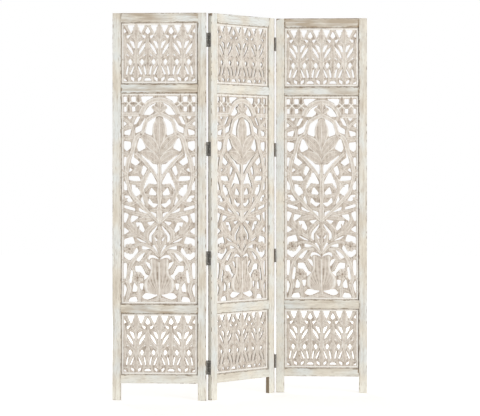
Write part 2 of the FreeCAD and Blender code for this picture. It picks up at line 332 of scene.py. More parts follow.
def smooth_path(points, steps):
    """Curve through the given points, each with its half width, at even steps."""
    points = [Vector(p) for p in points]
    ends = [2 * points[0] - points[1]] + points + [2 * points[-1] - points[-2]]
    spans = len(points) - 1
    path = []
    for step in range(steps + 1):
        reach = step / steps * spans
        span = min(int(reach), spans - 1)
        t = reach - span
        a, b, c, d = ends[span:span + 4]
        path.append(
            0.5 * (2 * b + (c - a) * t + (2 * a - 5 * b + 4 * c - d) * t ** 2
                   + (3 * b - a - 3 * c + d) * t ** 3)
        )
    return path


# Places across a form, as shares of its half width
FILLET_PLACE = 0.72
LEAF_RIM = 0.62
MIDRIB_SHARE = 0.16
PETAL_EDGE = 0.88
PETAL_EDGE_SHARE = 0.08
PETAL_MIDRIB_SHARE = 0.06
PETAL_FLUTES = 4

# Vase: heights from the floor in millimetres
VASE_FOOT = 449
BELLY_TOP = 520
NECK_HEIGHT = 572
MOUTH_HEIGHT = 606
# Its flutes fan out to this half width, over about this height, in millimetres
FAN_REACH = 104
FAN_HEIGHT = 74
# How many flutes lie in that half width, how the flutes deepen with the fan's half width in
# millimetres, and how they fade on the neck
VASE_FLUTES = 4.2
FLUTE_GROWTH = 14
FLUTE_START = 0.9
DEEPEST_FLUTE = 1.4
NECK_FADE = 0.8
NECK_FLUTE = 0.3
# Notch and shoulders of its mouth, in millimetres
NOTCH_DEPTH = 19
NOTCH_REACH = 30
SHOULDER_START = 27
SHOULDER_DROP = 55


# Sections across a carved form. Each takes the way across from -1 to 1, the way along in
# side veins and the place on the panel, and gives the height as a share of the relief and
# how white the wash is


def band_section(across, veins_along, place):
    """Flat stem with a raised fillet along each edge."""
    reach = abs(across)
    if reach < FILLET_PLACE:
        rise = (reach / FILLET_PLACE) ** 3
        return 0.3 + 0.7 * rise, 0.42 + 0.42 * rise
    return 1 - 0.75 * ((reach - FILLET_PLACE) / (1 - FILLET_PLACE)) ** 2, 0.84


def ridge_section(across, veins_along, place):
    """Narrow raised ridge, rubbed white."""
    return 1.15 - 0.6 * across ** 2, 1.1 - 0.4 * abs(across)


def strip_section(across, veins_along, place):
    """Border strip: low, round and white."""
    return 0.8 - 0.3 * across ** 2, 1.1 - 0.3 * abs(across)


def leaf_section(across, veins_along, place):
    """Crowned leaf with a sunk midrib and side veins."""
    reach = abs(across)
    crown = 0.25 + 0.75 * math.sqrt(max(0, 1 - reach ** 2))
    midrib = math.exp(-((across / MIDRIB_SHARE) ** 2))
    vein = math.cos(2 * math.pi * (veins_along - reach)) * reach
    rim = max(0, reach - LEAF_RIM) / (1 - LEAF_RIM)
    return crown - 0.4 * midrib + 0.14 * vein, 0.36 - 0.1 * midrib + 0.12 * vein + 0.6 * rim


def oval_leaf_section(across, veins_along, place):
    """Small plain leaf of the lattice."""
    reach = abs(across)
    return 0.2 + 0.6 * math.sqrt(max(0, 1 - reach ** 2)), 0.1 + 0.5 * reach ** 3


def fluted(across, fluting, strength=1):
    """Height and white of a hollow form with flutes, a midrib and a raised edge. From one flute
    to the next, fluting goes up by 1."""
    reach = abs(across)
    flute = strength * math.cos(2 * math.pi * fluting) * (1 - reach ** 4)
    edge = math.exp(-(((reach - PETAL_EDGE) / PETAL_EDGE_SHARE) ** 2))
    fall = max(0, (reach - PETAL_EDGE) / (1 - PETAL_EDGE)) ** 2
    midrib = math.exp(-((across / PETAL_MIDRIB_SHARE) ** 2))
    height = 0.45 + 0.15 * (1 - reach ** 2) + 0.13 * flute + 0.45 * edge + 0.35 * midrib - 0.3 * fall
    return height, 0.32 + 0.15 * flute + 0.52 * max(edge, 0.7 * midrib, fall)


def petal_section(across, veins_along, place):
    """Long petal with flutes along it."""
    return fluted(across, PETAL_FLUTES * across)


def vase_section(across, veins_along, place):
    """Vase with flutes that fan out of its foot, rise up its belly and end at its neck."""
    rise = max(place.y - VASE_FOOT, 1) / FAN_HEIGHT
    spread = FAN_REACH * (1 - math.exp(-rise))
    flutes = VASE_FLUTES * (place.x - PANEL_MIDDLE) / spread
    neck = max(0, place.y - BELLY_TOP) / (NECK_HEIGHT - BELLY_TOP)
    depth = min(DEEPEST_FLUTE, max(0, spread / FLUTE_GROWTH - FLUTE_START))
    strength = depth * max(NECK_FLUTE, 1 - NECK_FADE * neck)
    height, white = fluted(across, flutes, strength)
    return height + 0.25 * (1 - across ** 2), white


# Section, cells across, pitch of the lobes along the edge in millimetres and their depth
# as a share of the half width, where a form has lobes
stroke_kinds = {
    "band": (band_section, 8, 0, 0),
    "ridge": (ridge_section, 4, 0, 0),
    "strip": (strip_section, 6, 0, 0),
    "leaf": (leaf_section, 8, 13, 0.22),
    "oval leaf": (oval_leaf_section, 6, 0, 0),
    "lobed leaf": (leaf_section, 10, 14, 0.34),
    "petal": (petal_section, 32, 0, 0),
    "vase": (vase_section, 72, 0, 0),
}
# Length of a cell along a plain form, in millimetres, and cells along a lobe
CELL_LENGTH = 4.5
CELLS_PER_LOBE = 5
# Lobes lean towards the leaf's tip
LOBE_LEAN = 1.5


def relief_depth(height, is_front):
    """Where a form of this height lies in the board's depth, at its front or its back."""
    if is_front:
        return BOARD_FRONT + GROUND_DEPTH - RELIEF_FRONT * height
    return BOARD_BACK - GROUND_DEPTH + RELIEF_BACK * height


def shape_vase_top(verts):
    """The vase's mouth has a notch in the middle and two round shoulders."""
    for vert in verts:
        rise = max(0, vert.co.z - NECK_HEIGHT) / (MOUTH_HEIGHT - NECK_HEIGHT)
        off = abs(vert.co.x - PANEL_MIDDLE)
        drop = NOTCH_DEPTH * max(0, 1 - off / NOTCH_REACH)
        drop += SHOULDER_DROP * max(0, (off - SHOULDER_START) / SHOULDER_START) ** 2
        vert.co.z -= rise * drop


def add_stroke(bm, wash, kind, points):
    """Carved form along a path, closed from the front to the back of the board."""
    section, cells_across, lobe_pitch, lobe_depth = stroke_kinds[kind]
    length = sum(math.dist(a[:2], b[:2]) for a, b in zip(points, points[1:]))
    lobes = max(2, round(length / lobe_pitch)) if lobe_pitch else 0
    cells_along = lobes * CELLS_PER_LOBE or max(4, round(length / CELL_LENGTH))
    path = smooth_path(points, cells_along)
    grid = bmesh.ops.create_grid(bm, x_segments=cells_along, y_segments=cells_across, size=0.5)
    front = grid["verts"]
    faces = list(dict.fromkeys(face for vert in front for face in vert.link_faces))
    extruded = bmesh.ops.extrude_face_region(bm, geom=faces)["geom"]
    back = [item for item in extruded if isinstance(item, bmesh.types.BMVert)]
    for verts, is_front in ((front, True), (back, False)):
        for vert in verts:
            across = vert.co.y * 2
            step = round((vert.co.x + 0.5) * cells_along)
            before, after = path[max(step - 1, 0)], path[min(step + 1, cells_along)]
            heading = Vector((after.x - before.x, after.y - before.y)).normalized()
            veins_along = step / cells_along * lobes
            # Narrower between two lobes by their depth, and wider on a lobe by half of it
            swell = math.sin(math.pi * (veins_along % 1) ** LOBE_LEAN)
            reach = max(path[step].z, 0) * across * (1 + lobe_depth * (1.5 * swell - 1))
            place = Vector((path[step].x - heading.y * reach, path[step].y + heading.x * reach))
            height, white = section(across, veins_along, place)
            vert.co = (place.x, relief_depth(height, is_front), place.y)
            vert[wash] = white
    if kind == "vase":
        shape_vase_top(front + back)
    return front + back


# Rosette: share of the radius and height there, from the eye to the rim
ROSETTE_SECTION = ((0, 1.0), (0.16, 0.95), (0.24, 0.45), (0.5, 0.85), (0.8, 0.9), (1, 0.2))
ROSETTE_STEPS = 42
ROSETTE_PETALS = 7
# Depth of the notches between the petals, as a share of the radius, and of the grooves that
# lead to them, as a height, and how steep the grooves' sides are
NOTCH_SHARE = 0.2
GROOVE_HEIGHT = 0.4
GROOVE_STEEPNESS = 2.5
# Where the eye ends, the grooves start and the white rim starts, as shares of the radius
EYE_REACH = 0.2
GROOVE_REACH = 0.3
RIM_REACH = 0.7


def add_rosette(bm, wash, across, up, radius):
    """Round flower: a spun section whose rim is drawn into petals."""
    profile = []
    for section, is_front in ((ROSETTE_SECTION, True), (reversed(ROSETTE_SECTION), False)):
        for reach, height in section:
            place = (reach * radius, relief_depth(height, is_front), 0)
            profile.append(bm.verts.new(place))
    edges = [bm.edges.new(pair) for pair in zip(profile, profile[1:])]
    bmesh.ops.spin(
        bm, geom=profile + edges, cent=(0, 0, 0), axis=(0, 1, 0), angle=2 * math.pi,
        steps=ROSETTE_STEPS, use_merge=True,
    )
    verts = linked_verts(profile)
    bmesh.ops.remove_doubles(bm, verts=verts, dist=MERGE_DISTANCE)
    for vert in linked_verts([vert for vert in verts if vert.is_valid][:1]):
        angle = math.atan2(vert.co.z, vert.co.x)
        reach = math.hypot(vert.co.x, vert.co.z) / radius
        notch = abs(math.sin(angle * ROSETTE_PETALS / 2))
        spread = 1 - NOTCH_SHARE * (1 - notch) * reach
        front = vert.co.y < BOARD_MIDDLE
        groove = GROOVE_HEIGHT * (1 - min(1, notch * GROOVE_STEEPNESS)) * (reach > GROOVE_REACH)
        vert.co.y += groove * (RELIEF_FRONT if front else -RELIEF_BACK)
        vert.co.x = across + vert.co.x * spread
        vert.co.z = up + vert.co.z * spread
        rim = max(0, reach - RIM_REACH) / (1 - RIM_REACH)
        vert[wash] = 0.3 - groove + 0.45 * rim - 0.4 * (reach < EYE_REACH)


def linked_verts(seeds):
    """All vertices joined to the seeds by edges, in the same order in each run."""
    found, queue = dict.fromkeys(seeds), list(seeds)
    while queue:
        vert = queue.pop()
        for edge in vert.link_edges:
            other = edge.other_vert(vert)
            if other not in found:
                found[other] = None
                queue.append(other)
    return list(found)


def add_outline(curve, points):
    """Closed outline with gouge-cut corners and sides that bow out."""
    points = [Vector(p) for p in points]
    count = len(points)
    turn = sum(points[i - 1].cross(points[i]) for i in range(count))
    bow = SIDE_BOW if turn > 0 else -SIDE_BOW
    spline = curve.splines.new("BEZIER")
    spline.bezier_points.add(2 * count - 1)
    for index, corner in enumerate(points):
        before, after = points[index - 1], points[(index + 1) % count]
        for place, other, way in ((2 * index, before, -1), (2 * index + 1, after, 1)):
            side = other - corner
            out = Vector((side.y, -side.x)) * bow * way
            knot = spline.bezier_points[place]
            at = corner + side * CORNER_SHARE + out * BOW_AT_CORNER
            inner = at + (corner - at) * CORNER_PULL
            outer = at + side * (1 - 2 * CORNER_SHARE) / 3 + out * (1 - BOW_AT_CORNER)
            knot.handle_left_type = knot.handle_right_type = "FREE"
            knot.co = at.to_3d()
            knot.handle_left = (outer if way < 0 else inner).to_3d()
            knot.handle_right = (inner if way < 0 else outer).to_3d()
    spline.use_cyclic_u = True


def add_rectangle(curve, left, right, low, high):
    """Closed outline of the board itself."""
    spline = curve.splines.new("POLY")
    spline.points.add(3)
    for point, corner in zip(spline.points, ((left, low), (right, low), (right, high), (left, high))):
        point.co = (*corner, 0, 1)
    spline.use_cyclic_u = True


def pierced_plate(low, high, openings, widening):
    """Plate with rounded openings, from the curves' fill, in the panel's millimetres."""
    curve = bpy.data.curves.new("plate_outline", "CURVE")
    curve.dimensions = "2D"
    curve.fill_mode = "BOTH"
    curve.resolution_u = 4
    curve.bevel_depth = EDGE_ROUNDING
    curve.bevel_resolution = 1
    curve.offset = -EDGE_ROUNDING - widening
    curve.extrude = (BOARD_BACK - BOARD_FRONT) / 2 - GROUND_DEPTH - EDGE_ROUNDING
    add_rectangle(
        curve, BOARD_LEFT - widening, BOARD_RIGHT + widening, low - widening, high + widening,
    )
    for points in openings:
        add_outline(curve, points)
    holder = new_object("plate_outline", curve)
    ready = holder.evaluated_get(bpy.context.evaluated_depsgraph_get())
    plate = bpy.data.meshes.new_from_object(ready)
    bpy.data.objects.remove(holder)
    upright = Matrix.Rotation(math.radians(90), 4, "X")
    plate.transform(Matrix.Translation((0, BOARD_MIDDLE, 0)) @ upright)
    return plate


def new_object(name, data):
    """Object for a mesh, curve, lamp or camera, in the scene."""
    made = bpy.data.objects.new(name, data)
    bpy.context.scene.collection.objects.link(made)
    return made


def smooth_between_edges(bm):
    """Shades the faces smooth, except across sharp edges."""
    for face in bm.faces:
        face.smooth = True
    for edge in bm.edges:
        edge.smooth = edge.calc_face_angle(0) < SHARP_ANGLE


def finished_mesh(bm, name):
    """Mesh of the shape, which is then done with."""
    mesh = bpy.data.meshes.new(name)
    bm.to_mesh(mesh)
    bm.free()
    return mesh


# How white the wash is on the plate's faces and on the roundings of its openings, and the
# painted shade that darkens the cuts
WASH_ON_FACE = 0.2
WASH_ON_ROUNDING = 0.75
SHADED_CUT_WASH = 0.15
# Faces that lean out of the board's thickness by less than this sine are sawn walls
WALL_LEAN = 0.35


def plate_wash_and_shade(place):
    """How white the wash is on the pierced plate, by how far down an opening's side it is, with
    painted shade down in the cuts.
    """
    face = (BOARD_BACK - BOARD_FRONT) / 2 - GROUND_DEPTH
    sunk = (face - abs(place.y - BOARD_MIDDLE)) / EDGE_ROUNDING
    if sunk < 0.05:
        return WASH_ON_FACE
    return WASH_ON_ROUNDING if sunk < 0.9 else SHADED_CUT_WASH


def board_mesh(name, low, high, sight_low, sight_high, openings, strokes, flowers):
    """Carved board in the panel's millimetres, with its wash and painted shade, and its sawn walls,
    as attributes.
    """
    bm = bmesh.new()
    bm.from_mesh(pierced_plate(low, high, openings, saw_widening[name]))
    bmesh.ops.remove_doubles(bm, verts=bm.verts[:], dist=MERGE_DISTANCE)
    wash = bm.verts.layers.float.new("wash")
    for vert in bm.verts:
        vert[wash] = plate_wash_and_shade(vert.co)
    left, right = SIGHT_LEFT + STRIP_INSET, SIGHT_RIGHT - STRIP_INSET
    bottom, top = sight_low + STRIP_INSET, sight_high - STRIP_INSET
    half = STRIP_HALF_WIDTH
    strips = [
        ("strip", [(left, bottom - half, half), (left, top + half, half)]),
        ("strip", [(right, bottom - half, half), (right, top + half, half)]),
        ("strip", [(left - half, bottom, half), (right + half, bottom, half)]),
        ("strip", [(left - half, top, half), (right + half, top, half)]),
    ]
    for kind, points in strokes + strips:
        verts = add_stroke(bm, wash, kind, points)
        bmesh.ops.remove_doubles(bm, verts=verts, dist=MERGE_DISTANCE)
    for across, up, radius in flowers:
        add_rosette(bm, wash, across, up, radius)
    bmesh.ops.dissolve_degenerate(bm, edges=bm.edges[:], dist=MERGE_DISTANCE)
    bmesh.ops.recalc_face_normals(bm, faces=bm.faces[:])
    # Sawn walls, which the material darkens as painted shade
    wall = bm.faces.layers.float.new("wall")
    for face in bm.faces:
        face[wall] = abs(face.normal.y) < WALL_LEAN
    smooth_between_edges(bm)
    return finished_mesh(bm, name)


def square_carving(base):
    """Openings and strokes of a square board: three trees with cypresses between them."""
    openings, strokes = [], []

    def place_parts(new_openings, new_strokes, line, side=1):
        """Adds parts that are drawn from a line, to its right, or to its left for side -1."""
        openings.extend(shifted(points, line, base, side) for points in new_openings)
        strokes.extend((kind, shifted(points, line, base, side)) for kind, points in new_strokes)

    for stem in TREE_STEMS:
        place_parts([], tree_middle_strokes, stem)
        for side in (-1, 1):
            place_parts(tree_openings, tree_side_strokes, stem, side)
    for first, second in zip(TREE_STEMS, TREE_STEMS[1:]):
        place_parts(cypress_openings, cypress_strokes, (first + second) / 2)
    margin = (TREE_STEMS[1] - TREE_STEMS[0]) / 2
    for line, side in ((TREE_STEMS[0] - margin, 1), (TREE_STEMS[-1] + margin, -1)):
        place_parts(edge_openings, edge_cypress_strokes, line, side)
    return openings, strokes, []


def centre_carving():
    """Openings, strokes and flowers of a centre board, mirrored about its centre line."""
    openings = centre_openings + [mirrored(points) for points in centre_openings]
    strokes = list(centre_middle_strokes)
    for kind, points in centre_side_strokes:
        strokes += [(kind, points), (kind, mirrored(points))]
    arch = []
    for index in range(ARCH_POINTS):
        angle = math.pi - ARCH_SPRING - index / (ARCH_POINTS - 1) * (math.pi - 2 * ARCH_SPRING)
        arch.append(
            (ARCH_CENTRE[0] + ARCH_RADIUS * math.cos(angle),
             ARCH_CENTRE[1] + ARCH_RADIUS * math.sin(angle), ARCH_HALF_WIDTH)
        )
    strokes.append(("band", arch))
    flowers = rosettes + [(PANEL_WIDTH - across, up, radius) for across, up, radius in rosettes]
    return openings, strokes, flowers


def hex_colour(code):
    """Colour from sRGB hex, as the linear values that the shaders take."""
    channels = [int(code[i:i + 2], 16) / 255 for i in (1, 3, 5)]
    linear = [c / 12.92 if c <= 0.04045 else ((c + 0.055) / 1.055) ** 2.4 for c in channels]
    return (*linear, 1)


def add_node(tree, kind, inputs=(), **settings):
    """Adds a node, with its settings, and its inputs from values or other nodes' outputs."""
    node = tree.nodes.new(kind)
    for name, value in settings.items():
        setattr(node, name, value)
    for name, value in dict(inputs).items():
        if isinstance(value, bpy.types.NodeSocket):
            tree.links.new(value, node.inputs[name])
        else:
            node.inputs[name].default_value = value
    return node


def new_material(name):
    """Empty material and its nodes."""
    material = bpy.data.materials.new(name)
    material.use_nodes = True
    material.node_tree.nodes.clear()
    return material, material.node_tree


def place_on_object(tree):
    """Place of the shaded point, in the object's coordinates."""
    return add_node(tree, "ShaderNodeTexCoord").outputs["Object"]


def mesh_attribute(tree, name):
    """Value of the mesh's attribute at the shaded point."""
    return add_node(tree, "ShaderNodeAttribute", attribute_name=name).outputs["Fac"]


def multiply_add(tree, value, factor, added, **settings):
    """Value times a factor, and another value added."""
    return add_node(
        tree, "ShaderNodeMath", {0: value, 1: factor, 2: added}, operation="MULTIPLY_ADD", **settings,
    ).outputs[0]


def map_range(tree, value, start, end, low=0, high=1):
    """Value that goes from low to high while the given one goes from start to end."""
    return add_node(
        tree, "ShaderNodeMapRange",
        {"Value": value, "From Min": start, "From Max": end, "To Min": low, "To Max": high},
    ).outputs[0]


def mix_colours(tree, share, first, second):
    """First colour with a share of the second; each is a hex code or another node's output."""
    first, second = [hex_colour(c) if isinstance(c, str) else c for c in (first, second)]
    return add_node(
        tree, "ShaderNodeMix", {0: share, 6: first, 7: second}, data_type="RGBA",
    ).outputs[2]


def bump_normal(tree, height, strength, distance, **inputs):
    """Normal of a surface that a pattern raises by this distance in metres."""
    return add_node(
        tree, "ShaderNodeBump",
        {"Height": height, "Strength": strength, "Distance": distance, **inputs},
    ).outputs[0]


def add_surface(tree, inputs):
    """Gives a material its surface, from the inputs of the principled shader."""
    surface = add_node(tree, "ShaderNodeBsdfPrincipled", inputs)
    add_node(tree, "ShaderNodeOutputMaterial", {"Surface": surface.outputs[0]})


def grain_places(tree, turn, grain_along_x, cut=0):
    """Object coordinates turned with the panel, so that the grain runs along Z.

    Each member is cut from another stretch of the timber, which the place of the cut gives.
    """
    place = add_node(
        tree, "ShaderNodeMapping", {"Vector": place_on_object(tree), "Rotation": (0, 0, -turn)},
    ).outputs["Vector"]
    lay = math.radians(90) if grain_along_x else 0
    return add_node(
        tree, "ShaderNodeMapping",
        {"Vector": place, "Rotation": (0, lay, 0), "Location": (cut, 0.3 * cut, 0.7 * cut)},
    ).outputs["Vector"]


def cells_per_metre(size):
    """Scale of a pattern whose patches are this many millimetres across."""
    return 1 / (size * MM)


def patch_noise(tree, place, size, detail, roughness=0.5):
    """Noise with patches of this size in millimetres."""
    return add_node(
        tree, "ShaderNodeTexNoise",
        {"Vector": place, "Scale": cells_per_metre(size), "Detail": detail, "Roughness": roughness},
    ).outputs[0]


def grain_noise(tree, place, width, length, detail=3):
    """Noise drawn out along the grain, for streaks of this width and length in millimetres."""
    across, along = cells_per_metre(width), cells_per_metre(length)
    drawn = add_node(
        tree, "ShaderNodeMapping", {"Vector": place, "Scale": (across, across, along)},
    )
    return add_node(
        tree, "ShaderNodeTexNoise", {"Vector": drawn.outputs[0], "Scale": 1, "Detail": detail},
    ).outputs[0]


# How far the lime covers the wood, from 0 to 1, and how much less wood shows at the foot of the legs, as
# painted light
LIMED = 0.11
PAINTED_LIGHT_ON_LEGS = 0.21
# Wear, the painted shade on the hinge sides, and noise together that go through the lime
LIME_HOLD = 2.08


def limed_mango(name, turn, grain_along_x, cut, rubbed):
    """Planed mango wood rubbed with white lime: chalky, with the warm grain showing in streaks,
    browner where a member was rubbed down more, and bare along its knocked arrises, with
    painted light whitening the foot of the legs and painted shade on the hinge sides."""
    material, tree = new_material(name)
    place = grain_places(tree, turn, grain_along_x, cut)
    figure = grain_noise(tree, place, 9, 130, 5)
    patches = grain_noise(tree, place, 34, 110)
    # Pores are 0.3 mm wide, and drawn 1.5 mm wide so that they show
    pores = grain_noise(tree, place, 1.5, 25)
    # A member that was rubbed down shows more of its grain. Both noises lie about 0.5
    streaky, patchy = 1.2 + 2.2 * rubbed, 0.8 + 2.6 * rubbed
    bare_and_painted_light = multiply_add(tree, figure, streaky, rubbed - LIMED - (streaky + patchy) / 2)
    bare_and_painted_light = multiply_add(tree, patches, patchy, bare_and_painted_light)
    # The lime lies thicker and cooler in some stretches than in others
    warmth = map_range(tree, patch_noise(tree, place, 125, 3), 0.38, 0.62)
    lime = mix_colours(tree, warmth, "#E0E2DE", "#E6E0D2")
    bare_and_painted_light = multiply_add(tree, warmth, 0.22, bare_and_painted_light)
    # Painted light: the lime is whiter and less of the wood shows towards the foot of the legs
    height = add_node(tree, "ShaderNodeSeparateXYZ", {0: place_on_object(tree)}).outputs["Z"]
    painted_leg_light = map_range(tree, height, 1.4 * LEG_HEIGHT * MM, 0.4 * LEG_HEIGHT * MM)
    lime = mix_colours(tree, painted_leg_light, lime, "#EEEBDF")
    bare_and_painted_light = multiply_add(tree, painted_leg_light, -PAINTED_LIGHT_ON_LEGS, bare_and_painted_light, use_clamp=True)
    dark = map_range(tree, pores, 0.54, 0.68, high=0.55)
    # Bare patches run in from the arrises and the rails' ends, and a few lie on the faces; the
    # same brown is painted shade on the hinge sides
    chips = patch_noise(tree, place, 20, 4, 0.65)
    worn_or_shaded = multiply_add(tree, chips, 2.4, mesh_attribute(tree, "wear"))
    through = LIME_HOLD - 0.8 * rubbed
    worn_or_shaded = map_range(tree, worn_or_shaded, through, through + 0.28, high=0.9)
    # Wood under thin lime, dark pores, and bare wood with the hinge sides' painted shade, laid over the
    # lime in turn
    colour = lime
    for share, code in ((bare_and_painted_light, "#B7A996"), (dark, "#A3937F"), (worn_or_shaded, "#86735A")):
        colour = mix_colours(tree, share, colour, code)
    coarse = bump_normal(tree, figure, 0.4, 0.0008)
    fine = bump_normal(tree, pores, 0.3, 0.0003, Normal=coarse)
    add_surface(
        tree, {"Base Color": colour, "Roughness": 0.78, "Specular IOR Level": 0.3, "Normal": fine},
    )
    return material


def carved_mango(name, turn):
    """Carved mango wood, limed and wiped: white on the ridges and rims, pinkish on the
    leaves, and brown in the cuts and on the sawn walls as painted shade."""
    material, tree = new_material(name)
    place = grain_places(tree, turn, False)
    streaks = grain_noise(tree, place, 4, 70, 4)
    blotches = patch_noise(tree, place, 20, 4, 0.6)
    wall = mesh_attribute(tree, "wall")
    # The wash is thin in patches and in streaks along the grain, and the sawn walls are
    # darkened as painted shade. Both noises lie about 0.5, which the constant takes off again
    white = multiply_add(tree, mesh_attribute(tree, "wash"), 1, -0.1)
    for pattern, strength in ((blotches, 0.9), (streaks, -0.7), (wall, -0.5)):
        white = multiply_add(tree, pattern, strength, white)
    ramp = add_node(tree, "ShaderNodeValToRGB", {"Fac": white})
    stops = ((0, "#9C8E7F"), (0.22, "#C8BDB1"), (0.5, "#DAD2C8"), (1, "#F0EDE7"))
    while len(ramp.color_ramp.elements) < len(stops):
        ramp.color_ramp.elements.new(1)
    for element, (at, code) in zip(ramp.color_ramp.elements, stops):
        element.position = at
        element.color = hex_colour(code)
    # A few bare knocks, where this noise is highest
    knocks = map_range(tree, patch_noise(tree, place, 14, 3, 0.55), 0.7, 0.76, high=0.7)
    colour = mix_colours(tree, knocks, ramp.outputs[0], "#9A8266")
    bump = bump_normal(tree, streaks, 0.35, 0.0005)
    add_surface(
        tree, {"Base Color": colour, "Roughness": 0.8, "Specular IOR Level": 0.25, "Normal": bump},
    )
    return material


def handled_iron(name, dark, pale):
    """Iron dulled by handling: a grey sheen with paler rubbed spots."""
    material, tree = new_material(name)
    spots = patch_noise(tree, place_on_object(tree), 3, 4)
    colour = mix_colours(tree, map_range(tree, spots, 0.35, 0.68), dark, pale)
    rough = map_range(tree, spots, 0, 1, 0.6, 0.4)
    bump = bump_normal(tree, spots, 0.2, 0.0002)
    add_surface(tree, {"Base Color": colour, "Metallic": 0.5, "Roughness": rough, "Normal": bump})
    return material


def carve_boards(places, materials):
    """A carved board for each CAD board, from three meshes that the panels share."""
    rails = ("bottom_rail", "lower_rail", "upper_rail", "top_rail")
    rail_boxes = [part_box("left_panel_" + rail) for rail in rails]
    boards = ("bottom_jali", "centre_jali", "top_jali")
    for board, under, over in zip(boards, rail_boxes, rail_boxes[1:]):
        sight_low, sight_high = under[1].z / MM, over[0].z / MM
        low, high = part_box("left_panel_" + board)
        carving = centre_carving() if board == "centre_jali" else square_carving(sight_low)
        mesh = board_mesh(board, low.z / MM, high.z / MM, sight_low, sight_high, *carving)
        for panel, place in places.items():
            copy = mesh.copy()
            copy.transform(place)
            copy.materials.append(materials[panel])
            piece = new_object("%s_%s_carving" % (panel, board.split("_")[0]), copy)
            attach(piece, panel)
            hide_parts("%s_%s" % (panel, board))
        bpy.data.meshes.remove(mesh)


# Faces of a member that meet flatter than this are one, and edges sharper than this are arrises
FLAT_ANGLE = math.radians(1)
ARRIS_ANGLE = math.radians(40)
# Widths of the eased arrises, and of the rims beside them that their wear fades over
ARRIS_WIDTH = 1.0
RIM_WIDTH = 5
# Knocks in the arrises: how far apart, how deep for a noise of 1, and the noise they start at
KNOCK_LENGTH = 16
KNOCK_DEPTH = 2.2
KNOCK_START = 0.15
# Cuts across a member, which let its wear vary along it, in millimetres: from its first end,
# from its other end at least, and from one to the next
FIRST_CUT = 6
LAST_CUT = 20
CUT_SPACING = (7, 15)
# Wear of an eased arris, of wood that never got the lime, also painted shade beside the pins,
# the painted shade of a stile's hinge side, and wear of a rail's end that was cleaned of glue
ARRIS_WEAR = 0.65
UNLIMED_OR_SHADED = 3
HINGE_SIDE_SHADE = 0.2
CLEANED_WEAR = 0.55
CLEANED_LENGTH = 30
# How fast the painted shade beside the pins fades into limed wood, for each millimetre
PIN_FADE = 0.45
LEG_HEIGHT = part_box("left_panel_bottom_rail")[0].z / MM
# Stiles with hinges: where on the panel their hinge side is, and which face the pins are at
HALF_THICKNESS = (stile_high.y - stile_low.y) / 2 / MM
hinge_sides = {
    "left_panel_right_stile": (PANEL_WIDTH, HALF_THICKNESS),
    "middle_panel_left_stile": (0, HALF_THICKNESS),
    "middle_panel_right_stile": (PANEL_WIDTH, -HALF_THICKNESS),
    "right_panel_left_stile": (0, -HALF_THICKNESS),
}


def cut_across(bm, axis, places):
    """Cuts the whole mesh with planes across an axis, so that wear can vary along it."""
    normal = Vector((axis == 0, axis == 1, axis == 2))
    for place in places:
        bmesh.ops.bisect_plane(
            bm, geom=bm.verts[:] + bm.edges[:] + bm.faces[:], dist=MERGE_DISTANCE,
            plane_co=normal * place, plane_no=normal,
        )


def stile_wear_and_shade(name, place):
    """The legs' inner sides never got the lime; the hinge sides get painted shade, darkest beside the
    pins.
    """
    inside = abs(place.x - PANEL_MIDDLE) < PANEL_MIDDLE - SIGHT_LEFT + 0.1
    if inside and place.z < LEG_HEIGHT:
        return UNLIMED_OR_SHADED
    # Painted shade on the hinge side, darkest beside the pins
    side, pins = hinge_sides.get(name, (math.inf, 0))
    if abs(place.x - side) >= ARRIS_WIDTH:
        return 0
    from_pins = abs(pins - place.y)
    return UNLIMED_OR_SHADED - PIN_FADE * from_pins if from_pins < RIM_WIDTH + 1 else HINGE_SIDE_SHADE


def timber_mesh(source, place, name):
    """Member of the frame from its CAD solid: eased arrises, knocks along them, and as an
    attribute where the wood is bare and where painted shade darkens it."""
    bm = bmesh.new()
    bm.from_mesh(source)
    bmesh.ops.transform(bm, matrix=place.inverted(), verts=bm.verts[:])
    bmesh.ops.remove_doubles(bm, verts=bm.verts[:], dist=MERGE_DISTANCE)
    bmesh.ops.dissolve_limit(bm, angle_limit=FLAT_ANGLE, verts=bm.verts[:], edges=bm.edges[:])
    eased_face = bm.faces.layers.int.new("eased")
    arrises = [edge for edge in bm.edges if edge.calc_face_angle_signed(0) > ARRIS_ANGLE]
    eased = bmesh.ops.bevel(
        bm, geom=arrises, offset=ARRIS_WIDTH, segments=2, profile=0.5, affect="EDGES", material=-1,
    )
    for face in eased["faces"]:
        face[eased_face] = 1
    low = Vector(min(v.co[i] for v in bm.verts) for i in range(3))
    high = Vector(max(v.co[i] for v in bm.verts) for i in range(3))
    upright = high.z - low.z > high.x - low.x
    length_axis, width_axis = (2, 0) if upright else (0, 2)
    draw = random.Random(name)
    cuts = [low[length_axis] + FIRST_CUT]
    while cuts[-1] < high[length_axis] - LAST_CUT:
        cuts.append(cuts[-1] + draw.uniform(*CUT_SPACING))
    cut_across(bm, length_axis, cuts)
    for axis in (width_axis, 1):
        cut_across(bm, axis, (low[axis] + RIM_WIDTH, high[axis] - RIM_WIDTH))
    wear = bm.verts.layers.float.new("wear")
    # Each member has its knocks from another part of the noise
    shift = Vector((draw.uniform(-500, 500), 0, 0))
    bm.normal_update()
    moves = []
    for vert in bm.verts:
        on_arris = any(face[eased_face] for face in vert.link_faces)
        knock = max(0, noise.noise((vert.co + shift) / KNOCK_LENGTH) - KNOCK_START)
        chip = knock * KNOCK_DEPTH * on_arris
        moves.append((vert, vert.normal * -chip))
        if upright:
            bare_and_painted_light = stile_wear_and_shade(name, vert.co)
        else:
            from_joint = min(vert.co.x - low.x, high.x - vert.co.x)
            bare_and_painted_light = CLEANED_WEAR * max(0, 1 - from_joint / CLEANED_LENGTH)
        vert[wear] = max(bare_and_painted_light, on_arris * (ARRIS_WEAR + chip))
    for vert, move in moves:
        vert.co += move
    smooth_between_edges(bm)
    bmesh.ops.transform(bm, matrix=place, verts=bm.verts[:])
    return finished_mesh(bm, name)


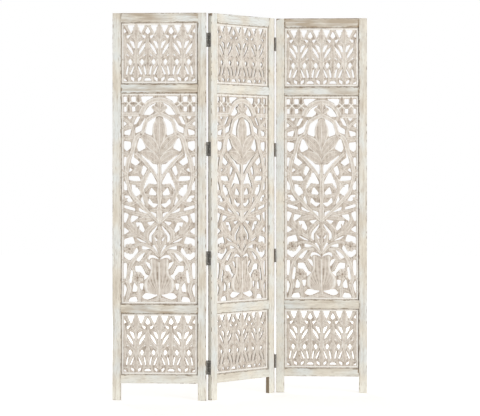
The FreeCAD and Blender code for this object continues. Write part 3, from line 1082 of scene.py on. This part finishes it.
# How far each member was rubbed down through the lime, from 0 to 1, and the single members
# that were rubbed down more or less than that
rubbed_down = {
    "left_stile": 0.08, "right_stile": 0.12, "bottom_rail": 0.17, "lower_rail": 0.47,
    "upper_rail": 0.47, "top_rail": 0.45,
}
rubbed_more = {
    "right_panel_top_rail": 0.2, "middle_panel_right_stile": -0.14, "middle_panel_left_stile": -0.1,
    "middle_panel_upper_rail": -0.46, "left_panel_right_stile": 0.06, "right_panel_left_stile": -0.12,
    "left_panel_left_stile": 0.02, "right_panel_right_stile": 0.09, "left_panel_bottom_rail": -0.15,
    "middle_panel_bottom_rail": -0.14, "middle_panel_lower_rail": -0.5, "middle_panel_top_rail": -0.3,
    "right_panel_lower_rail": -0.32, "right_panel_upper_rail": -0.05,
}
# How far apart in the timber two members were cut, in metres
CUT_STEP = 0.83


def finish_frames(places, turns):
    """Timber for each member of the frames, each with its own stretch of grain."""
    cut = 0
    for panel, place in places.items():
        for member, rubbed in rubbed_down.items():
            cut += CUT_STEP
            node = "%s_%s" % (panel, member)
            mesh = timber_mesh(frame["nodes"][node].data, place, node)
            rubbed += rubbed_more.get(node, 0)
            is_rail = member.endswith("rail")
            mesh.materials.append(limed_mango("limed_mango_" + node, turns[panel], is_rail, cut, rubbed))
            piece = new_object(node + "_timber", mesh)
            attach(piece, panel)
            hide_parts(node)


# Screw head in millimetres: a rim that slopes up to its height, and a crown that slopes on
SCREW_RADIUS = 2.9
SCREW_HEIGHT = 0.12
SCREW_RIM = 0.8
CROWN_WIDTH = 0.5
CROWN_HEIGHT = 0.04
SLOT_HALF_WIDTH = 0.35
SLOT_DEPTH = 0.8 * SCREW_HEIGHT
# Screws of a leaf: from the pin towards the leaf's edge, and up from its foot, as shares
SCREW_PLACES = ((0.45, 0.14), (0.75, 0.5), (0.45, 0.86))
# How far a leaf's free face lies off the pin's axis, in millimetres
LEAF_GAP = 0.25


def screw_head(bm):
    """Round head of a wood screw with its slot, on the plane z = 0 and facing +Z."""
    head = bmesh.ops.create_circle(bm, cap_ends=True, radius=SCREW_RADIUS, segments=20)
    face = head["verts"][0].link_faces[0]
    bmesh.ops.inset_individual(bm, faces=[face], thickness=SCREW_RIM, depth=SCREW_HEIGHT)
    bmesh.ops.inset_individual(bm, faces=[face], thickness=CROWN_WIDTH, depth=CROWN_HEIGHT)
    # The slot is pressed in across the middle
    for side in (-1, 1):
        bmesh.ops.bisect_plane(
            bm, geom=[face] + list(face.edges) + list(face.verts), dist=0.0001,
            plane_co=(0, side * SLOT_HALF_WIDTH, 0), plane_no=(0, 1, 0),
        )
    verts = linked_verts(head["verts"][:1])
    for vert in verts:
        if abs(vert.co.y) < SLOT_HALF_WIDTH + MERGE_DISTANCE and vert.co.z > SCREW_HEIGHT:
            vert.co.z -= SLOT_DEPTH
    return verts


def screws(name, body, axis, turn, side, reach, height, steel):
    """Three screw heads on the free face of one hinge leaf."""
    bm = bmesh.new()
    for out, up in SCREW_PLACES:
        verts = screw_head(bm)
        facing = Matrix.Rotation(math.radians(-90 * side), 4, "Y")
        at = Matrix.Translation((side * LEAF_GAP, -out * reach, up * height))
        bmesh.ops.transform(bm, matrix=at @ facing, verts=verts)
    bmesh.ops.recalc_face_normals(bm, faces=bm.faces[:])
    place = Matrix.Translation(axis) @ Matrix.Rotation(turn, 4, "Z") @ Matrix.Scale(MM, 4)
    bmesh.ops.transform(bm, matrix=place, verts=bm.verts[:])
    mesh = finished_mesh(bm, name)
    mesh.materials.append(steel)
    piece = new_object(name, mesh)
    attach(piece, body)


def finish_hinges(iron, steel):
    """Iron on the hinges, and the screws that hold their leaves."""
    for node, piece in frame["nodes"].items():
        if "hinge" in node:
            piece.data.materials.clear()
            piece.data.materials.append(iron)
        if not node.endswith("swinging_leaf"):
            continue
        low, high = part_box(node)
        barrel = (high.x - low.x) / 2
        front_fold = node.startswith("right")
        across = (low.x + high.x) / 2
        out = low.y + barrel if front_fold else high.y - barrel
        axis = Vector((across, out, low.z))
        reach, height = (high.y - low.y - barrel) / MM, (high.z - low.z) / MM
        way = math.pi if front_fold else 0
        outer = "right_panel" if front_fold else "left_panel"
        label = node.replace("_swinging_leaf", "")
        screws(label + "_swinging_screws", outer, axis, way, -1, reach, height, steel)
        screws(label + "_fixed_screws", "middle_panel", axis, way + FOLD_TURN, 1, reach, height, steel)


def shows_background(tree):
    """1 for the rays that show the background: the camera's, and those off or through a piece."""
    rays = add_node(tree, "ShaderNodeLightPath").outputs
    shown = rays["Is Camera Ray"]
    for other in ("Is Glossy Ray", "Is Transmission Ray"):
        shown = add_node(
            tree, "ShaderNodeMath", {0: shown, 1: rays[other]}, operation="MAXIMUM",
        ).outputs[0]
    return shown


# Strength of the white surroundings as light, where the background itself has 1
AMBIENT = 0.5
# Floor: half its side in metres, its glow near the screen and far off, and how far off those are
FLOOR_REACH = 14
FLOOR_GLOW = (0.38, 0.6)
GLOW_PLACES = (0.8, 2.4)
# Name, place, size in metres and power in watts
LAMPS = (
    ("key_softbox", (3.7, -3.9, 1.3), 3.0, 174),
    ("fill_softbox", (-4.7, -2.2, 1.1), 3.0, 80),
    ("rear_softbox", (-1.5, 4.2, 2.6), 2.4, 75),
)
LAMP_AIM = (0, 0, 0.85)


def make_surroundings():
    """White surroundings, which light the screen less brightly than they show."""
    world = bpy.data.worlds.new("studio")
    bpy.context.scene.world = world
    world.use_nodes = True
    tree = world.node_tree
    tree.nodes.clear()
    strength = map_range(tree, shows_background(tree), 0, 1, AMBIENT, 1)
    sky = add_node(tree, "ShaderNodeBackground", {"Color": (1, 1, 1, 1), "Strength": strength})
    add_node(tree, "ShaderNodeOutputWorld", {"Surface": sky.outputs[0]})


def white_floor():
    """Matt white floor that glows a little, so that it shows as white as the surroundings."""
    material, tree = new_material("white_floor")
    matt = add_node(tree, "ShaderNodeBsdfDiffuse", {"Color": hex_colour("#F2F1EF")})
    # Less glow near the screen keeps its shadow on the floor
    away = add_node(
        tree, "ShaderNodeVectorMath", {0: place_on_object(tree)}, operation="LENGTH",
    ).outputs["Value"]
    strength = map_range(tree, away, *GLOW_PLACES, *FLOOR_GLOW)
    glow = add_node(tree, "ShaderNodeEmission", {"Color": (1, 1, 1, 1), "Strength": strength})
    lit = add_node(tree, "ShaderNodeAddShader", {0: matt.outputs[0], 1: glow.outputs[0]})
    both = add_node(
        tree, "ShaderNodeMixShader",
        {0: shows_background(tree), 1: matt.outputs[0], 2: lit.outputs[0]},
    )
    add_node(tree, "ShaderNodeOutputMaterial", {"Surface": both.outputs[0]})
    return material


def make_stage():
    """White floor that runs out of view, white surroundings and soft lamps."""
    bpy.context.scene.view_settings.view_transform = "Standard"
    make_surroundings()
    bm = bmesh.new()
    bmesh.ops.create_grid(bm, x_segments=1, y_segments=1, size=FLOOR_REACH)
    mesh = finished_mesh(bm, "floor")
    mesh.materials.append(white_floor())
    floor = new_object("floor", mesh)
    for name, place, size, power in LAMPS:
        lamp = bpy.data.lights.new(name, "AREA")
        lamp.size = size
        lamp.energy = power
        holder = new_object(name, lamp)
        holder.location = place
        holder.rotation_mode = "QUATERNION"
        holder.rotation_quaternion = (Vector(place) - Vector(LAMP_AIM)).to_track_quat("Z", "Y")


# Camera at the photograph's angle: level, slightly to the right of the screen's middle
CAMERA_PLACE = (0.440, -8.194, 0.964)
CAMERA_TURN = math.radians(3.13)
# The photograph's size, the lens' length and the row of the horizon, in its pixels
PICTURE_WIDTH, PICTURE_HEIGHT = 480, 416
FOCAL_PIXELS = 1892
HORIZON_PIXEL = 174


def make_camera():
    """Level camera, shifted down to the photograph's frame."""
    data = bpy.data.cameras.new("camera")
    data.sensor_width = 36
    data.lens = FOCAL_PIXELS * data.sensor_width / PICTURE_WIDTH
    data.shift_y = (HORIZON_PIXEL - PICTURE_HEIGHT / 2) / PICTURE_WIDTH
    camera = new_object("camera", data)
    camera.location = CAMERA_PLACE
    camera.rotation_euler = (math.radians(90), 0, CAMERA_TURN)
    bpy.context.scene.camera = camera


def build():
    """Builds the screen on its stage."""
    places = panel_places()
    turns = {panel: FOLD_TURN if panel == "middle_panel" else 0 for panel in places}
    carved = {panel: carved_mango("carved_mango_" + panel, turns[panel]) for panel in places}
    make_stage()
    make_camera()
    carve_boards(places, carved)
    finish_frames(places, turns)
    blackened = handled_iron("blackened_iron", "#64625E", "#A09D97")
    bright = handled_iron("worn_steel_screws", "#A5A29B", "#D8D5CE")
    finish_hinges(blackened, bright)


build()
